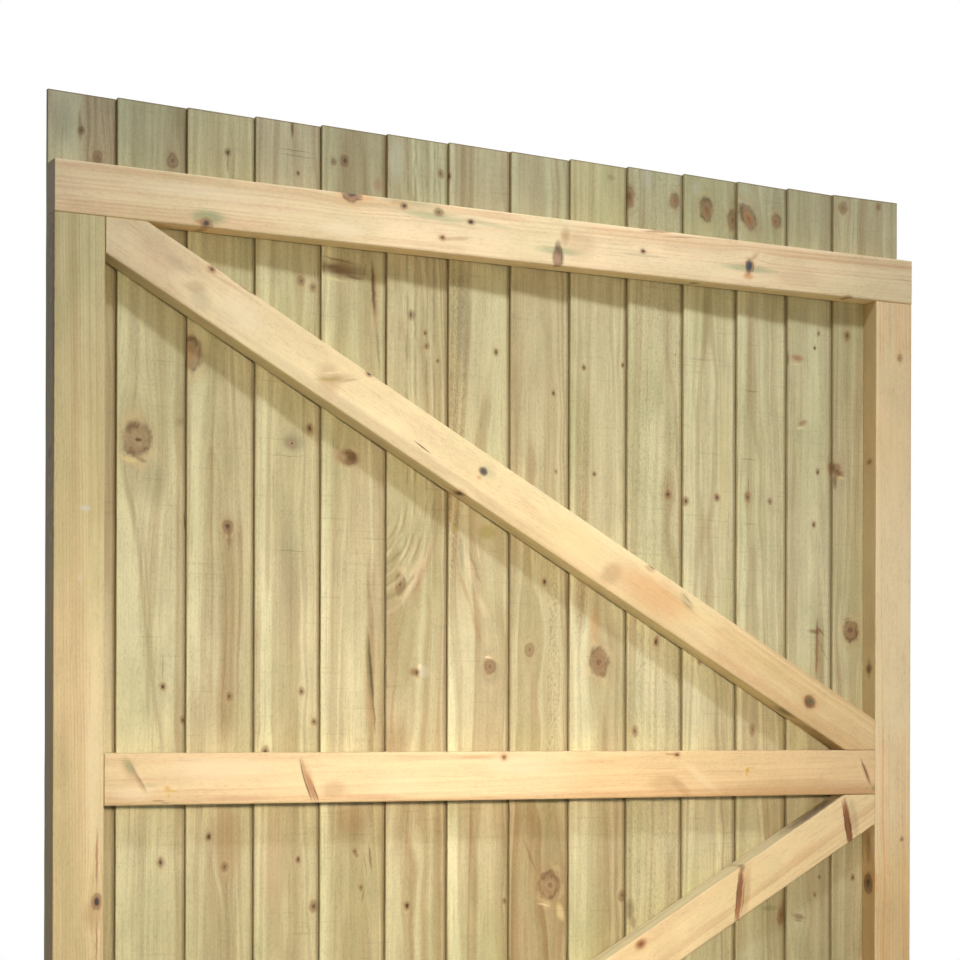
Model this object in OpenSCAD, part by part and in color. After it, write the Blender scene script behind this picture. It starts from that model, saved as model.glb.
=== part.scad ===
// Framed, ledged and braced garden gate leaf, clad with lapped feather-edge boards.
// X runs along the leaf from its hinge edge, -Y faces the framed side, Z is up.
// The origin is on the hinge edge: halfway up, and in the middle of the frame's thickness.

/* [Leaf] */
// Width of the frame, from hinge edge to closing edge
leaf_w = 1400; // [1150:1:1690]
// Height of the boarding, from foot to top
leaf_h = 1830; // [1500:1:2200]
// How far the boards stand above the top rail, and below the bottom rail
overhang = 100; // [0:1:150]

/* [Frame timber] */
// Width of the planed timber, as seen from the framed side
timber_w = 70; // [50:1:100]
// Thickness of the planed timber
timber_t = 35; // [25:1:60]
// Radius of the eased arrises along every timber
arris_r = 2; // [1:0.5:5]
// Length of the upright cut where a brace bears on a stile
brace_heel = 48; // [20:1:70]

/* [Feather-edge boards] */
// Full width of a board
board_w = 125; // [105:1:150]
// Thickness of a board's thin edge
thin_edge = 6; // [3:0.5:9]
// Thickness of a board's thick edge
thick_edge = 12; // [9:0.5:20]
// How far the first board starts in from the hinge edge
hinge_margin = 1; // [1:1:20]
// How far the last board stops short of the closing edge
closing_margin = 3; // [0:1:20]
// How much closer the last two boards are laid than the others
closing_up = 9; // [0:1:15]

/* [Hidden] */

boards = 14;
// Gap left under a lapping edge, so that the boards bear without biting
lap_clear = 0.3;
// How far each hand-laid board strays from the even spacing
strays = [0, -3, -3, -3, -3, -1, -2, 0, 1, 1, 1, 0, 4, 0];

frame_h = leaf_h - 2 * overhang;
stile_h = frame_h - 2 * timber_w;
bay_w = leaf_w - 2 * timber_w;
bay_h = (stile_h - timber_w) / 2;
frame_back = timber_t / 2;

timber_color = [0.90, 0.79, 0.58];
board_color = [0.76, 0.72, 0.53];
$fn = 32;

// Left edge of board k, counted from 0 at the hinge edge: an even cover, which
// closes up over the last two boards
boarded_w = leaf_w - hinge_margin - closing_margin;
cover = (boarded_w - board_w + 2 * closing_up) / (boards - 1);
function edge_x(k) =
    hinge_margin + k * cover - closing_up * max(0, k - (boards - 3)) + strays[k];

// The last board lies flat. Every other leans back until it clears both the thin edge of
// the board that it laps and, under its own thick edge, that board's outer face
taper = atan((thick_edge - thin_edge) / board_w);
rise = thin_edge + lap_clear;
function lap(k) = edge_x(k) + board_w - edge_x(k + 1);
function lean(k) = k == boards - 1 ? 0 :
    asin(max(rise / (board_w - lap(k)),
             (rise + lap(k) * tan(lean(k + 1) + taper)) / board_w));

// Slope of a brace whose lower edge starts, and whose upper edge ends, a heel's length
// from the bay's two opposite corners
brace_drop = bay_h - 2 * brace_heel;
brace_slope = atan(brace_drop / bay_w) + asin(timber_w / norm([bay_w, brace_drop]));

// Planed section, width along X and thickness along Y, with its four arrises eased
module eased_section() {
    inner = [timber_w - 2 * arris_r, timber_t - 2 * arris_r];
    square([timber_w, inner.y], center = true);
    square([inner.x, timber_t], center = true);
    for (sx = [-1, 1], sy = [-1, 1])
        translate([sx * inner.x, sy * inner.y] / 2) circle(r = arris_r);
}

// Upright timber, centred on the origin
module upright(length) {
    translate([0, 0, -length / 2]) linear_extrude(length) eased_section();
}

// Level timber along X, centred on the origin
module level(length) {
    rotate([0, 90, 0]) upright(length);
}

module rail(length, z) {
    color(timber_color) translate([leaf_w / 2, 0, z]) level(length);
}

module top_rail() {
    rail(leaf_w, (frame_h - timber_w) / 2);
}

module mid_rail() {
    rail(bay_w, 0);
}

module bottom_rail() {
    rail(leaf_w, (timber_w - frame_h) / 2);
}

module left_stile() {
    color(timber_color) translate([timber_w / 2, 0, 0]) upright(stile_h);
}

module right_stile() {
    color(timber_color) translate([leaf_w - timber_w / 2, 0, 0]) upright(stile_h);
}

// Brace of the upper bay: an over-long timber laid on its slope and cut to the bay
module brace() {
    intersection() {
        translate([timber_w, -timber_t, timber_w / 2]) cube([bay_w, 2 * timber_t, bay_h]);
        translate([leaf_w / 2, 0, (timber_w + bay_h) / 2])
            rotate([0, brace_slope, 0]) level(bay_w + bay_h);
    }
}

module upper_brace() {
    color(timber_color) brace();
}

module lower_brace() {
    color(timber_color) mirror([0, 0, 1]) brace();
}

// Feather-edge board k, resting on the frame at its thin edge
module board(k) {
    color(board_color) translate([edge_x(k), frame_back, -leaf_h / 2]) rotate([0, 0, lean(k)])
        linear_extrude(leaf_h)
            polygon([[0, 0], [board_w, 0], [board_w, thick_edge], [0, thin_edge]]);
}

top_rail();
mid_rail();
bottom_rail();
left_stile();
right_stile();
upper_brace();
lower_brace();
board(0);  // board_01
board(1);  // board_02
board(2);  // board_03
board(3);  // board_04
board(4);  // board_05
board(5);  // board_06
board(6);  // board_07
board(7);  // board_08
board(8);  // board_09
board(9);  // board_10
board(10);  // board_11
board(11);  // board_12
board(12);  // board_13
board(13);  // board_14
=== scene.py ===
# The looks of a framed and braced garden gate leaf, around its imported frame.
# X runs along the leaf from the hinge edge, -Y faces the framed side, Z is up. Metres.
from math import asin, atan2, ceil, cos, hypot, pi, radians, sin
from types import SimpleNamespace

import bmesh
import bpy
import numpy as np
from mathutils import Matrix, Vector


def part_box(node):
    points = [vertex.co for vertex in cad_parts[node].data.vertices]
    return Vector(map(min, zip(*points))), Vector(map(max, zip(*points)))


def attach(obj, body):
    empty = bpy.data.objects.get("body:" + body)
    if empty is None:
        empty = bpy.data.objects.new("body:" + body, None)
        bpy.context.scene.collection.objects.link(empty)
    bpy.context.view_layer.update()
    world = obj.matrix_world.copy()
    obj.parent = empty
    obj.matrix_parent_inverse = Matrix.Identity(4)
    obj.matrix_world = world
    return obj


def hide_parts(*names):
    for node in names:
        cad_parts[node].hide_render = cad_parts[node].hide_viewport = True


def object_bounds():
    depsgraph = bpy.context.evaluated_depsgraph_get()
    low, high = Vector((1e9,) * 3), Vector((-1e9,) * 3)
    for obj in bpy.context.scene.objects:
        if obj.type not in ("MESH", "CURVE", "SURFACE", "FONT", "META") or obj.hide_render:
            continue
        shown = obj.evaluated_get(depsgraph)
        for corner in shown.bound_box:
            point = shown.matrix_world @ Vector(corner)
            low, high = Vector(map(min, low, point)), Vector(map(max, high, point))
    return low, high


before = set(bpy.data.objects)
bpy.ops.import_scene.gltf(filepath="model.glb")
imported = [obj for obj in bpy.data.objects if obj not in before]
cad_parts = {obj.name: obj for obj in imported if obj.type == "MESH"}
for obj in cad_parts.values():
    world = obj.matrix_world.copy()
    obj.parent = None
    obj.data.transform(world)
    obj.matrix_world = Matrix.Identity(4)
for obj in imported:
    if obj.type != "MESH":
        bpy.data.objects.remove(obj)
cadBox = [list(corner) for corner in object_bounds()]
mm = 0.001


def arithmetic(operation):
    # One node operation as a pair of Python operators: with the wire on the left, and on the right
    return (lambda left, right: Wire.combine(operation, left, right),
            lambda right, left: Wire.combine(operation, left, right))


class Wire:
    # One output socket. Arithmetic on it adds Math nodes, or Vector Math nodes where a
    # vector takes part.
    tree = None    # the node tree being wired

    def __init__(self, socket):
        self.socket = socket

    @classmethod
    def node(cls, kind, settings, inputs, output=0):
        made = cls.tree.nodes.new(kind)
        for key, value in settings.items():
            setattr(made, key, value)
        for key, value in inputs.items():
            if isinstance(value, Wire):
                cls.tree.links.new(value.socket, made.inputs[key])
            else:
                made.inputs[key].default_value = value
        return cls(made.outputs[output])

    @classmethod
    def combine(cls, operation, *values):
        parts = dict(enumerate(values))
        if any(isVector(value) for value in values):
            parts = {k: value if isinstance(value, (Wire, tuple)) else (value,) * 3
                     for k, value in parts.items()}
            return cls.node("ShaderNodeVectorMath", {"operation": operation}, parts)
        return cls.node("ShaderNodeMath", {"operation": operation}, parts)

    __add__, __radd__ = arithmetic("ADD")
    __sub__, __rsub__ = arithmetic("SUBTRACT")
    __mul__, __rmul__ = arithmetic("MULTIPLY")
    __truediv__, __rtruediv__ = arithmetic("DIVIDE")
    __pow__, __rpow__ = arithmetic("POWER")


def isVector(value):
    if isinstance(value, Wire):
        return value.socket.type == "VECTOR"
    return isinstance(value, tuple)


def step(value, low, high):
    # 0 below low, 1 above high, an S-curve between them; high may be the smaller
    return Wire.node("ShaderNodeMapRange", {"interpolation_type": "SMOOTHSTEP"},
                     {"Value": value, "From Min": low, "From Max": high}, "Result")


def lesser(first, second):
    return Wire.combine("MINIMUM", first, second)


def greater(first, second):
    return Wire.combine("MAXIMUM", first, second)


def noise(point, detail=2.0, roughness=0.5, output="Fac"):
    return Wire.node("ShaderNodeTexNoise", {},
                     {"Vector": point, "Scale": 1.0, "Detail": detail, "Roughness": roughness}, output)


def noise1D(value, detail=2.0):
    return Wire.node("ShaderNodeTexNoise", {"noise_dimensions": "1D"},
                     {"W": value, "Scale": 1.0, "Detail": detail, "Roughness": 0.6}, "Fac")


def placed(point, centre, turn, size):
    # The point as seen from a frame at `centre`, turned by `turn`, whose unit is `size`
    return Wire.node("ShaderNodeMapping", {"vector_type": "TEXTURE"},
                     {"Vector": point, "Location": centre, "Rotation": turn, "Scale": size})


def dot(first, second):
    return Wire.node("ShaderNodeVectorMath", {"operation": "DOT_PRODUCT"}, {0: first, 1: second}, "Value")


def length(vector):
    return Wire.node("ShaderNodeVectorMath", {"operation": "LENGTH"}, {0: vector}, "Value")


def split(vector):
    return [Wire.node("ShaderNodeSeparateXYZ", {}, {0: vector}, k) for k in range(3)]


def blend(first, second, amount, how="MIX"):
    return Wire.node("ShaderNodeMix", {"data_type": "RGBA", "blend_type": how},
                     {0: amount, 6: first, 7: second}, 2)


def srgb(red, green, blue):
    # Screen colour, 0 to 255, as the linear colour that a shader takes
    scaled = [value / 255 for value in (red, green, blue)]
    return tuple(v / 12.92 if v <= 0.04045 else ((v + 0.055) / 1.055) ** 2.4 for v in scaled) + (1.0,)


def startMaterial(name):
    material = bpy.data.materials.new(name)
    material.use_nodes = True
    material.node_tree.nodes.clear()
    Wire.tree = material.node_tree
    return material


def endMaterial(surface):
    out = Wire.tree.nodes.new("ShaderNodeOutputMaterial")
    Wire.tree.links.new(surface.socket, out.inputs["Surface"])


black = (0.0, 0.0, 0.0, 1.0)
# Colours of marks, named after what they mostly show; some marks in them are painted shade or painted light
# instead, as noted at each piece
tints = {
    "resin": srgb(96, 64, 38), "bark": srgb(130, 98, 64), "crack": srgb(52, 38, 26),
    "rust": srgb(160, 92, 50), "pink": srgb(200, 150, 118), "orange": srgb(222, 160, 92),
    "straw": srgb(246, 232, 168), "yellow": srgb(226, 184, 70), "moss": srgb(170, 156, 76),
    "cream": srgb(255, 240, 200), "green": srgb(128, 158, 106), "olive": srgb(128, 124, 84),
    "grey": srgb(138, 128, 104), "slate": srgb(62, 72, 78), "tan": srgb(182, 142, 94),
    "white": srgb(232, 230, 216),
}
# Each noise in the wood: its scale per mm across, deep and along the grain, detail and roughness
noises = {
    "jitter": ((0.09, 0.09, 0.09), 1.0, 0.5),         # ragged outlines of marks and knots
    "drift": ((1 / 80, 1 / 80, 1 / 380), 2.0, 0.5),   # slow wander of the pith
    "waver": ((1 / 30, 1 / 30, 1 / 110), 1.0, 0.5),   # shorter waves in the grain
    "fibre": ((0.42, 0.42, 0.007), 3.0, 0.65),
    "streak": ((0.09, 0.09, 0.0026), 3.0, 0.62),
    "blotch": ((0.012, 0.012, 0.005), 2.0, 0.5),      # patches of green preservative
    "mottle": ((0.035, 0.035, 0.014), 3.0, 0.6),
    "fuzz": ((0.55, 0.55, 0.2), 2.0, 0.7),            # torn ends of fibres
    "specks": ((0.34, 0.34, 0.08), 2.0, 0.6),
    "uneven": ((0.1, 0.1, 0.1), 2.0, 0.5),            # a knot's outline
    "patches": ((0.05, 0.05, 0.05), 1.0, 0.5),        # where a knot's collar or rim shows
    "breaks": ((0.03, 0.03, 0.03), 1.0, 0.5),         # where a whorl's lines fade out
    "sawLine": ((0.012, 0.02, 0.36), 1.0, 0.5),
    "deepLine": ((0.012, 0.02, 0.2), 0.0, 0.5),
    "sawing": ((0.016, 0.016, 0.016), 0.0, 0.5),      # where the saw's lines show
}
seedShift = (37.0, 91.0, 53.0)    # mm between the wood of one seed and that of the next
knotPull = 0.85                   # share of its radius by which a knot pushes the grain aside
stripeFade = 30                   # mm to each side of a stripe's end in which it fades


def texture(point, name, output="Fac"):
    scale, detail, roughness = noises[name]
    return noise(point * scale, detail, roughness, output)


def woodAt(place, centre, turn, look):
    # Where a point is in its piece, in mm, and the noises there that don't follow the grain
    local = placed(place, centre, (0, turn, 0), (mm,) * 3)
    at = SimpleNamespace(near=1e4, bend=(0.0, 0.0, 0.0), dark=0.0, warm=0.0, ringed=0.0)
    at.across, at.deep, at.along = split(local)
    at.height = split(place)[2]
    at.start = tuple(look["seed"] * shift for shift in seedShift)
    at.seeded = local + at.start
    at.loose = local + (texture(at.seeded, "jitter", "Color") - 0.5) * look["jitter"]
    at.mottle = texture(at.seeded, "mottle")
    at.fuzz = texture(at.seeded, "fuzz")
    # 1 on a sawn board's inner side, where its stripes, stains and scars are, and 0 on its outer
    at.inner = 1.0
    if look["sawn"]:
        at.inner = step(at.deep - at.across * look["middle"], 4.5, 1.5)
    return at


def oval(at, across, along, wide, tall, tilt=0, deep=0, reach=1e5):
    # The point as seen from an oval's centre, in its half sizes. All in mm on the piece, with the
    # tilt in degrees, and a centre and half size in depth where it doesn't go right through.
    # Tilt, depth and reach are the `rest` that the functions below pass on.
    return placed(at.loose, (across, deep, along), (0, radians(tilt), 0), (wide, reach, tall))


def addSwirl(at, look, across, along, radius, stretch=1.5, *rest):
    # A place that the grain flows round: it is pushed away from the centre by a share of the
    # radius that fades as knotFade to the power of the squared distance
    away = oval(at, across, along, radius, radius * stretch, *rest)
    spread = away * (1.0, 0.0, 0.45)
    fade = look["knotFade"] ** dot(spread, spread)
    at.bend = away * (fade * (knotPull * radius)) + at.bend
    return away, fade


def addKnot(at, look, across, along, radius, dark=0.5, warm=0.5, stretch=1.2, *rest):
    # A swirl round a branch met face on, with how dark its heart is and how warm its halo. Larger
    # ones have more rings. `near` is the distance to the nearest knot in its own radii.
    away, fade = addSwirl(at, look, across, along, radius, stretch, *rest)
    at.near = lesser(length(away), at.near)
    at.dark = fade * dark + at.dark
    at.warm = fade * warm + at.warm
    if radius > 5:
        at.ringed = fade * min((radius - 5) / 7, 1.0) + at.ringed


def growRings(at, look):
    # Growth is the distance from a pith that runs along the grain and drifts, plus a share of the
    # height, since a trunk tapers. The late wood of a year is where the fraction of growth / ring
    # nears 1, and the wood's tan follows growth in broad bands and the grain in streaks.
    flow = at.seeded - at.bend
    drift = (texture(flow, "drift", "Color") - 0.5) * look["drift"]
    flow = flow + (texture(flow, "waver", "Color") - 0.5) * look["waver"]
    pith = tuple(a + b for a, b in zip(at.start, look["pith"] + (0.0,)))
    growth = length((flow + drift - pith) * (1.0, 1.0, 0.0)) + split(flow)[2] * look["taper"]
    ring = Wire.combine("FRACT", growth / look["ring"])
    at.late = step(ring, 0.2, 0.85) * step(ring, 1.0, 0.86)
    at.fibre = texture(flow, "fibre")
    band = noise1D(growth / look["band"] + look["seed"], 2.0)
    strong = noise1D(growth / look["band"] * 0.6 + look["seed"] * 3.0, 1.0)
    tan = (step(band, 0.36, 0.64) - 0.5) * look["bands"] + look["tan"]
    tan = tan + at.late * step(strong, 0.3, 0.7) * look["rings"]
    at.tan = tan + (texture(flow, "streak") - 0.5) * look["streaks"]
    at.torn = look["torn"]
    at.wander = split(flow)[0] - at.start[0]    # how far across, as the grain runs


def addStripe(at, across, wide, amount, low=-3000, high=3000, torn=0.0, lean=0.0):
    # A band along the grain that is browner by `amount`, or paler where that is below zero,
    # between two heights on the piece, how rough the saw left it, and how far it strays
    # sideways for each mm along from its middle
    aside = at.wander - across
    if lean:
        aside = aside - (at.along - (low + high) / 2) * lean
    span = step(at.along, low - stripeFade, low + stripeFade)
    span = span * step(at.along, high + stripeFade, high - stripeFade)
    there = step(Wire.combine("ABSOLUTE", aside), wide * 1.5, wide * 0.5) * span * at.inner
    at.tan = there * amount + at.tan
    if torn:
        at.torn = there * torn + at.torn


def plainWood(at, look):
    # Pale to deep by tan, then green patches, dark fibres, grubbiness, torn fibres and specks
    colour = blend(look["pale"], look["deep"], at.tan)
    colour = blend(colour, look["green"],
                   step(texture(at.seeded, "blotch"), 0.42, 0.72) * look["greens"])
    colour = blend(colour, look["deep"], step(at.fibre, 0.54, 0.72) * look["lines"])
    colour = blend(colour, black, step(at.mottle, 0.3, 0.75) * look["mottle"]
                   + step(at.fuzz, 0.45, 0.75) * (at.torn + look["fuzz"]))
    colour = blend(colour, tints["straw"], step(at.fuzz, 0.5, 0.3) * at.torn * 1.5)
    speckled = step(texture(at.seeded, "specks"), *look["speckZone"]) * step(at.mottle, 0.35, 0.6)
    return blend(colour, look["speckTint"], speckled * look["specks"])


def addMark(colour, at, across, along, wide, tall, tint, strength=0.7, tilt=0, solid=0.3, *rest):
    # A crack, streak, scar or stain, or a patch of painted shade or painted light: a soft oval, full
    # strength out to the share `solid` of it
    away = length(oval(at, across, along, wide, tall, tilt, *rest))
    return blend(colour, tints[tint], step(away, 1.1, solid) * strength * at.inner)


def addWhorl(colour, at, across, along, wide, tall, hollow, lines, tint, strength):
    # Growth lines that run down past a point and curve in under it, in to the share `hollow` of
    # the oval, `lines` of them to the outermost. Above its centre only the width counts.
    away = oval(at, across, along, wide, tall)
    reach = length(lesser(away, (1e5, 1e5, 0.0))) + (at.mottle - 0.5) * 0.07
    count = reach * lines
    line = Wire.combine("FRACT", count + noise1D(count * 0.9, 0.0) * 0.8)
    zone = step(reach, 1.0, 0.8) * step(reach, hollow, hollow + 0.2)
    zone = zone * step(texture(at.seeded, "breaks"), 0.3, 0.6)
    zone = zone * step(line, 0.1, 0.4) * step(line, 0.7, 0.45)
    return blend(colour, tints[tint], zone * strength * at.inner)


def paintKnots(colour, at, look):
    # From outside in: a warm halo, a pale collar, knot wood with circles in it, a rim of bark, and
    # a dark heart, each between two distances that noise makes uneven
    reach = at.near + (texture(at.seeded, "uneven") - 0.5) * 0.7 + (at.fibre - 0.5) * 0.5
    ringed = lesser(at.ringed, 1.0)
    circles = Wire.combine("SINE", reach * 15.0) * 0.5 + 0.5
    patchy = step(texture(at.seeded, "patches"), 0.38, 0.6)
    halo = step(reach, 2.6, 0.7) * lesser(at.warm, 1.0) * look["halo"]
    colour = blend(colour, look["haloTint"], halo)
    collar = step(reach, 1.9, 1.4) * step(reach, 0.9, 1.3) * (1 - patchy)
    colour = blend(colour, look["collar"], collar * (ringed * 0.3 + 0.1))
    wood = blend(look["knotLight"], look["knotRim"], circles * 0.3 + step(at.fuzz, 0.4, 0.8) * 0.4)
    soft = step(reach, 1.45, 0.25)
    body = soft + (step(reach, 1.15, 0.75) - soft) * ringed
    colour = blend(colour, wood, body * lesser(at.dark * 0.4 + 0.5, 0.85))
    rim = step(reach, 1.25, 0.95) * step(reach, 0.5, 0.95) * (patchy * 0.9 + 0.1)
    colour = blend(colour, look["knotRim"], rim * (ringed * 0.6 + 0.15))
    edge = at.dark * 0.6 + 0.15
    return blend(colour, look["knotDark"], step(reach, edge, edge * 0.3) * lesser(at.dark, 0.95))


def addSawingAndShade(colour, at, look):
    # Saw lines across the board, painted shade above the top rail on the inner side (with each board's own
    # tone there), and painted shade in the corners where boards lap, on the thin edge and along the cut
    # ends
    at.sawLine = texture(at.seeded, "sawLine")
    sawing = step(at.sawLine, 0.52, 0.8) * step(texture(at.seeded, "sawing"), 0.45, 0.7)
    deepLine = step(texture(at.seeded, "deepLine"), 0.76, 0.84)
    colour = blend(colour, black, sawing * 0.09 + deepLine * 0.09)
    # Painted shade above the top rail on the inner side, with each board's own tone there
    shadedAboveRail = step(at.height, *look["aboveRailZone"]) * at.inner
    colour = blend(colour, look["shadeAndToneAboveRail"] + (1.0,), shadedAboveRail, "MULTIPLY")
    # Painted shade near the next board's thin edge on the inner face, on the thin edge, at the foot of the
    # lap on the outer face, and along the cut ends
    corner = step(at.across, look["cover"] - 5.0, look["cover"] - 0.8) * step(at.deep, 12.0, 10.0)
    edgeShade = greater(step(at.across, 1.6, 0.2), corner)
    foot = step(at.across, look["lapped"] + 8.0, look["lapped"]) * (1 - at.inner)
    edgeShade = greater(edgeShade, foot * (at.mottle * 0.8 + 1.1))
    cutEndShade = step(at.height, look["top"] - 2.4 * mm, look["top"] - 1.0 * mm)
    return blend(colour, look["edgeShade"], greater(edgeShade, cutEndShade * 1.3) * look["edgeShadeStrength"])


def woodMaterial(name, centre, turn, look):
    # Solid wood: growth rings round a pith that runs along the grain, bent by the knots
    material = startMaterial(name)
    at = woodAt(Wire.node("ShaderNodeTexCoord", {}, {}, "Object"), centre, turn, look)
    for values in look["knots"]:
        addKnot(at, look, *values)
    for values in look["swirls"]:
        addSwirl(at, look, *values)
    growRings(at, look)
    for values in look["stripes"]:
        addStripe(at, *values)
    colour = plainWood(at, look)
    for values in look["stains"]:
        colour = addMark(colour, at, *values)
    if look["knots"]:
        colour = paintKnots(colour, at, look)
    for values in look["whorls"]:
        colour = addWhorl(colour, at, *values)
    for values in look["marks"]:
        colour = addMark(colour, at, *values)
    for axis, low, high, tint in look["shades"]:
        colour = blend(colour, tint + (1.0,), step(getattr(at, axis), low, high), "MULTIPLY")
    if look["sawn"]:
        colour = addSawingAndShade(colour, at, look)
        bumpHeight = at.sawLine * 0.5 + at.fibre * 0.5 + at.fuzz * 0.5 + at.late * 0.25
    else:
        bumpHeight = at.fibre * 0.5 + at.late * 0.4
    bump = Wire.node("ShaderNodeBump", {}, {"Height": bumpHeight, "Strength": look["bump"],
                                           "Distance": look["bumpDepth"]})
    rough = look["rough"] + (at.fibre - 0.5) * 0.2
    endMaterial(Wire.node("ShaderNodeBsdfPrincipled", {},
                          {"Base Color": colour, "Roughness": rough, "Normal": bump}))
    return material


def ripple(first, second, seed, waves=5):
    # Sum of sines with seeded lengths and phases, between about -1 and 1
    rng = np.random.default_rng(seed)
    total = 0
    for _ in range(waves):
        total = total + np.sin(rng.uniform(0.4, 1.6) * first + rng.uniform(-1.2, 1.2) * second
                               + rng.uniform(0, 2 * pi))
    return total / waves


def easedLoop(corners, ease, spacing, steps=4):
    # Closed outline through straight sides. Each corner is a parabola between two points
    # `ease` away from it, and each side is divided every `spacing`.
    corners = np.asarray(corners, float)
    t = np.linspace(0, 1, steps + 1)[:, None]
    loop = []
    for k, corner in enumerate(corners):
        before, after = corners[k - 1], corners[(k + 1) % len(corners)]
        toBefore = (before - corner) / np.linalg.norm(before - corner)
        toAfter = (after - corner) / np.linalg.norm(after - corner)
        first, last = corner + ease * toBefore, corner + ease * toAfter
        loop.append((1 - t) ** 2 * first + 2 * t * (1 - t) * corner + t ** 2 * last)
        end = after - ease * toAfter
        parts = max(1, ceil(np.linalg.norm(end - last) / spacing))
        share = np.arange(1, parts)[:, None] / parts
        loop.append(last + share * (end - last))
    return np.concatenate(loop)


def outward(loop):
    # Unit normals of a closed outline, from the chord between each point's neighbours
    chord = np.roll(loop, -1, 0) - np.roll(loop, 1, 0)
    normal = np.stack([chord[:, 1], -chord[:, 0]], 1)
    normal /= np.linalg.norm(normal, axis=1)[:, None]
    area = np.sum(loop[:, 0] * np.roll(loop[:, 1], -1) - np.roll(loop[:, 0], -1) * loop[:, 1])
    return normal * np.sign(area)


def ringFaces(rings, around):
    # Quads between neighbouring rings of points, as the numbers of their four points
    i = np.arange(rings - 1)[:, None] * around
    j = np.arange(around)[None, :]
    k = (j + 1) % around
    return np.stack([i + j, i + k, i + around + k, i + around + j], -1).reshape(-1, 4)


def meshPiece(name, points, faces):
    # A smooth object with its faces turned outwards and its edges over 35 degrees kept sharp
    mesh = bpy.data.meshes.new(name)
    mesh.from_pydata(points, [], faces)
    work = bmesh.new()
    work.from_mesh(mesh)
    bmesh.ops.recalc_face_normals(work, faces=work.faces)
    work.to_mesh(mesh)
    work.free()
    mesh.shade_smooth()
    mesh.set_sharp_from_angle(angle=radians(35))
    piece = bpy.data.objects.new(name, mesh)
    bpy.context.collection.objects.link(piece)
    return piece


def shell(name, rings, creases=((0, 0), (0, 0))):
    # Closed skin through rings of points, with each end closed by one flat face, or by two
    # that meet between the crease points
    count, around = rings.shape[:2]
    faces = ringFaces(count, around).tolist()
    order = np.arange(around)
    for base, (low, high) in zip((0, (count - 1) * around), creases):
        if low == high:
            faces.append((base + order).tolist())
        else:
            faces.append((base + order[low:high + 1]).tolist())
            faces.append((base + np.concatenate([order[high:], order[:low + 1]])).tolist())
    return meshPiece(name, rings.reshape(-1, 3), faces)


def finishPiece(piece, material, node=None):
    piece.data.materials.append(material)
    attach(piece, "root")
    if node:
        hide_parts(node)


timberCut = {
    "width": 0.070, "thick": 0.035,
    "ease": 2.6 * mm,        # planed arris
    "gap": 0.35 * mm,        # how far each end stops short of what it meets
    "wave": 0.25 * mm,       # unevenness of the planed faces
    "ripple": (14, 0.35),    # how fast that changes, per metre along and per point round
    "endWear": 0.45 * mm,    # how far the arris of a cut end is worn in, over the length `nick`
    "nick": 0.5 * mm,
    "division": 9 * mm,
    "station": 14 * mm,
}

# Wood finishes, in mm unless `mm` is named. Knots, swirls, stripes, whorls, stains and marks hold
# what addKnot, addSwirl and so on take, and shades an axis, where its tint starts and is full, and
# the tint. Shades multiply the colour: some tone the wood, and many are painted shade or painted
# light, as noted at each piece.
planed = {
    "pale": srgb(255, 233, 184), "deep": srgb(214, 160, 104),
    "green": srgb(200, 200, 138), "greens": 0.12,      # preservative
    "ring": 4.6, "band": 11.0,                         # growth in a year, and in a broad band
    "drift": 16.0, "waver": 4.0, "jitter": 3.0,        # how far pith, grain and outlines stray
    "taper": 0.012,                                    # growth gained for each mm up the trunk
    "bands": 0.2, "rings": 0.22, "streaks": 0.45, "lines": 0.3,
    "mottle": 0.07, "fuzz": 0.04, "torn": 0.05,
    "specks": 0.18, "speckTint": srgb(206, 158, 108), "speckZone": (0.5, 0.68),
    "knotFade": 0.7, "haloTint": srgb(214, 166, 108), "halo": 0.5, "collar": srgb(246, 204, 146),
    "knotLight": srgb(172, 128, 84), "knotDark": srgb(46, 46, 50), "knotRim": srgb(92, 62, 42),
    "knots": [], "swirls": [], "stripes": [], "whorls": [], "stains": [], "marks": [],
    "shades": [],
    "sawn": False, "bump": 0.25, "bumpDepth": 0.3 * mm, "rough": 0.6,
}


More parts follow.
